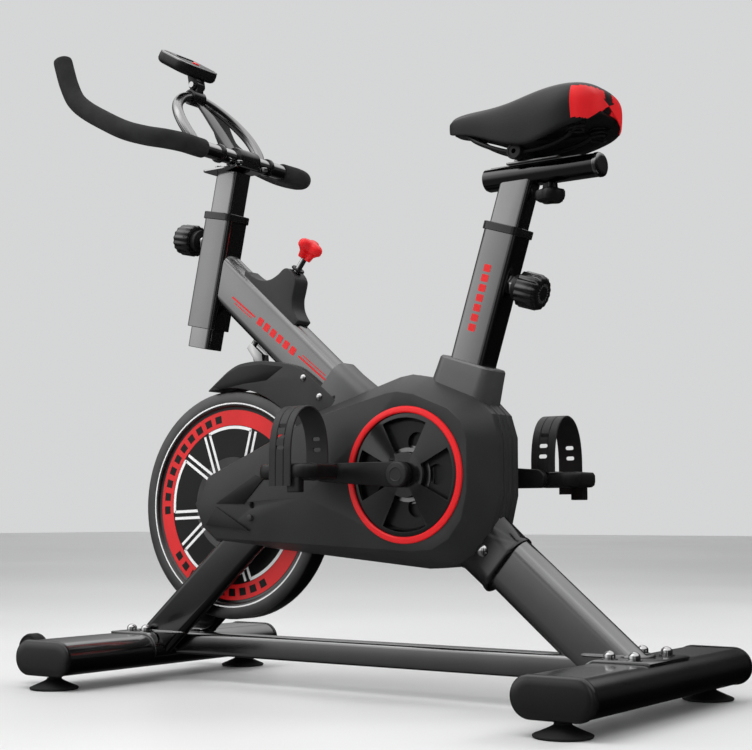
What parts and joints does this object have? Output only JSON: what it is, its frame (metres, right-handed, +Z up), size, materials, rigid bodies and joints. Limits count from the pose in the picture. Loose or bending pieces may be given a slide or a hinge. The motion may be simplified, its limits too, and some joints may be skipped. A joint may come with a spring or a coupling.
{
  "type": "exercise bike",
  "caption": "Indoor exercise bike with a belt-driven flywheel, adjustable handlebar and saddle, brake knob, console, pedals with toe straps and levelling feet.",
  "frame": {"origin": "on the floor under the middle of the bike's bounding box", "axes": "+Z up, -X is the way the rider faces, +Y is the rider's right"},
  "size_m": [1.0666, 0.534, 1.0823],
  "materials": {
    "frame_paint": "gloss black metallic paint",
    "post_metal": "gloss grey metallic",
    "chrome": "polished chrome",
    "steel": "zinc-plated steel",
    "iron": "black painted iron with a red band",
    "housing_plastic": "dark grey moulded, fine grain",
    "black_plastic": "black moulded",
    "crank_paint": "satin black",
    "red_plastic": "gloss red",
    "rubber": "black rubber",
    "strap_rubber": "grey-black flexible strap",
    "belt_rubber": "ribbed belt",
    "brake_leather": "dense felt and leather",
    "grip_foam": "closed-cell foam",
    "saddle_leather": "black grained cover"
  },
  "bodies": {
    "frame": {"front_stabilizer": "frame_paint", "front_mount_plate": "frame_paint", "front_cap_left": "black_plastic", "front_cap_right": "black_plastic", "rear_stabilizer": "frame_paint", "rear_mount_plate": "frame_paint", "rear_cap_left": "black_plastic", "rear_cap_right": "black_plastic", "bottom_bracket": "frame_paint", "seat_sleeve": "frame_paint", "down_tube": "frame_paint", "rear_leg": "frame_paint", "head_sleeve": "frame_paint", "centre_rail": "frame_paint", "front_leg_left": "frame_paint", "front_leg_right": "frame_paint", "drive_belt": "belt_rubber", "housing_left": "housing_plastic", "housing_right": "housing_plastic", "cover_disc_left": "housing_plastic", "cover_disc_right": "housing_plastic", "trim_ring_left": "red_plastic", "trim_ring_right": "red_plastic", "fender": "housing_plastic", "brake_boot": "black_plastic", "head_collar": "black_plastic", "seat_collar": "black_plastic"},
    "handlebar_unit": {"handlebar_post": "post_metal", "handlebar": "chrome", "grip_left": "grip_foam", "grip_right": "grip_foam", "console_arch": "chrome"},
    "head_knob": {"head_knob": "black_plastic"},
    "seat_knob": {"seat_knob": "black_plastic"},
    "console": {"console": "black_plastic"},
    "console_button": {"console_button": "red_plastic"},
    "flywheel": {"flywheel": "iron", "flywheel_shaft": "steel"},
    "crank": {"crank_spindle": "steel", "drive_pulley": "steel", "crank_arm_left": "crank_paint", "crank_arm_right": "crank_paint"},
    "pedal_left": {"pedal_left": "black_plastic", "pedal_strap_left": "strap_rubber"},
    "pedal_right": {"pedal_right": "black_plastic", "pedal_strap_right": "strap_rubber"},
    "brake_rod": {"brake_rod": "chrome"},
    "brake_knob": {"brake_knob": "red_plastic"},
    "brake_pad": {"brake_pad": "brake_leather"},
    "seat_post": {"seat_post": "post_metal"},
    "saddle_slider": {"saddle_slider": "steel"},
    "saddle_knob": {"saddle_knob": "black_plastic"},
    "saddle": {"saddle": "saddle_leather", "saddle_base": "black_plastic"},
    "front_foot_left": {"front_foot_left": "rubber"},
    "front_foot_right": {"front_foot_right": "rubber"},
    "rear_foot_left": {"rear_foot_left": "rubber"},
    "rear_foot_right": {"rear_foot_right": "rubber"},
    "transport_wheel_left": {"transport_wheel_left": "rubber"},
    "transport_wheel_right": {"transport_wheel_right": "rubber"}
  },
  "joints": [
    {"name": "handlebar_height", "type": "slide", "parent": "frame", "child": "handlebar_unit", "axis": [0.2045, 0, 0.9789], "range_m": [-0.045, 0.1]},
    {"name": "head_knob_turn", "type": "hinge", "parent": "frame", "child": "head_knob", "pos_m": [-0.28301, 0, 0.72888], "axis": [-0.9789, 0, 0.2045], "range_deg": [0, 720]},
    {"name": "seat_height", "type": "slide", "parent": "frame", "child": "seat_post", "axis": [0.3007, 0, 0.9537], "range_m": [-0.012, 0.15]},
    {"name": "seat_knob_turn", "type": "hinge", "parent": "frame", "child": "seat_knob", "pos_m": [0.24877, 0, 0.61575], "axis": [0.9537, 0, -0.3007], "range_deg": [0, 720]},
    {"name": "saddle_fore_aft", "type": "slide", "parent": "seat_post", "child": "saddle_slider", "axis": [1, 0, 0], "range_m": [-0.0045, 0.055]},
    {"name": "saddle_knob_turn", "type": "hinge", "parent": "saddle_slider", "child": "saddle_knob", "pos_m": [0.34365, 0, 0.735], "axis": [0, 0, -1], "range_deg": [0, 720]},
    {"name": "saddle_tilt", "type": "hinge", "parent": "saddle_slider", "child": "saddle", "pos_m": [0.29965, 0, 0.7995], "axis": [0, 1, 0], "range_deg": [-10, 10]},
    {"name": "console_tilt", "type": "hinge", "parent": "handlebar_unit", "child": "console", "pos_m": [-0.34435, 0, 1.014], "axis": [0, 1, 0], "range_deg": [-15, 15]},
    {"name": "button_press", "type": "slide", "parent": "console", "child": "console_button", "axis": [-0.5, 0, -0.866], "range_m": [0, 0.0015], "stiffness_N_per_m": 400, "springref_m": -0.001},
    {"name": "flywheel_spin", "type": "hinge", "parent": "frame", "child": "flywheel", "pos_m": [-0.24385, 0, 0.29], "axis": [0, 1, 0], "continuous": true},
    {"name": "crank_spin", "type": "hinge", "parent": "frame", "child": "crank", "pos_m": [0.13465, 0, 0.331], "axis": [0, 1, 0], "continuous": true},
    {"name": "pedal_left_spin", "type": "hinge", "parent": "crank", "child": "pedal_left", "pos_m": [-0.00227, -0.146, 0.33578], "axis": [0, 1, 0], "continuous": true},
    {"name": "pedal_right_spin", "type": "hinge", "parent": "crank", "child": "pedal_right", "pos_m": [0.27157, 0.146, 0.32622], "axis": [0, 1, 0], "continuous": true},
    {"name": "brake_press", "type": "slide", "parent": "frame", "child": "brake_rod", "axis": [-0.6157, 0, -0.788], "range_m": [0, 0.005], "stiffness_N_per_m": 2500, "springref_m": -0.004},
    {"name": "brake_turn", "type": "hinge", "parent": "brake_rod", "child": "brake_knob", "pos_m": [-0.11835, 0, 0.672], "axis": [0.6157, 0, 0.788], "range_deg": [0, 720]},
    {"name": "pad_feed", "type": "slide", "parent": "brake_rod", "child": "brake_pad", "axis": [-0.6157, 0, -0.788], "range_m": [0, 0.0025]},
    {"name": "front_foot_left_turn", "type": "hinge", "parent": "frame", "child": "front_foot_left", "pos_m": [-0.42235, -0.229, 0], "axis": [0, 0, 1], "range_deg": [-360, 360]},
    {"name": "front_foot_right_turn", "type": "hinge", "parent": "frame", "child": "front_foot_right", "pos_m": [-0.42235, 0.229, 0], "axis": [0, 0, 1], "range_deg": [-360, 360]},
    {"name": "rear_foot_left_turn", "type": "hinge", "parent": "frame", "child": "rear_foot_left", "pos_m": [0.47365, -0.229, 0], "axis": [0, 0, 1], "range_deg": [-360, 360]},
    {"name": "rear_foot_right_turn", "type": "hinge", "parent": "frame", "child": "rear_foot_right", "pos_m": [0.47365, 0.229, 0], "axis": [0, 0, 1], "range_deg": [-360, 360]},
    {"name": "transport_wheel_left_spin", "type": "hinge", "parent": "frame", "child": "transport_wheel_left", "pos_m": [-0.50835, -0.196, 0.056], "axis": [0, 1, 0], "continuous": true},
    {"name": "transport_wheel_right_spin", "type": "hinge", "parent": "frame", "child": "transport_wheel_right", "pos_m": [-0.50835, 0.196, 0.056], "axis": [0, 1, 0], "continuous": true}
  ],
  "couplings": [
    {"joint": "crank_spin", "follows": "flywheel_spin", "ratio": 0.22368},
    {"joint": "pad_feed", "follows": "brake_turn", "m_per_rad": 0.00019695}
  ]
}
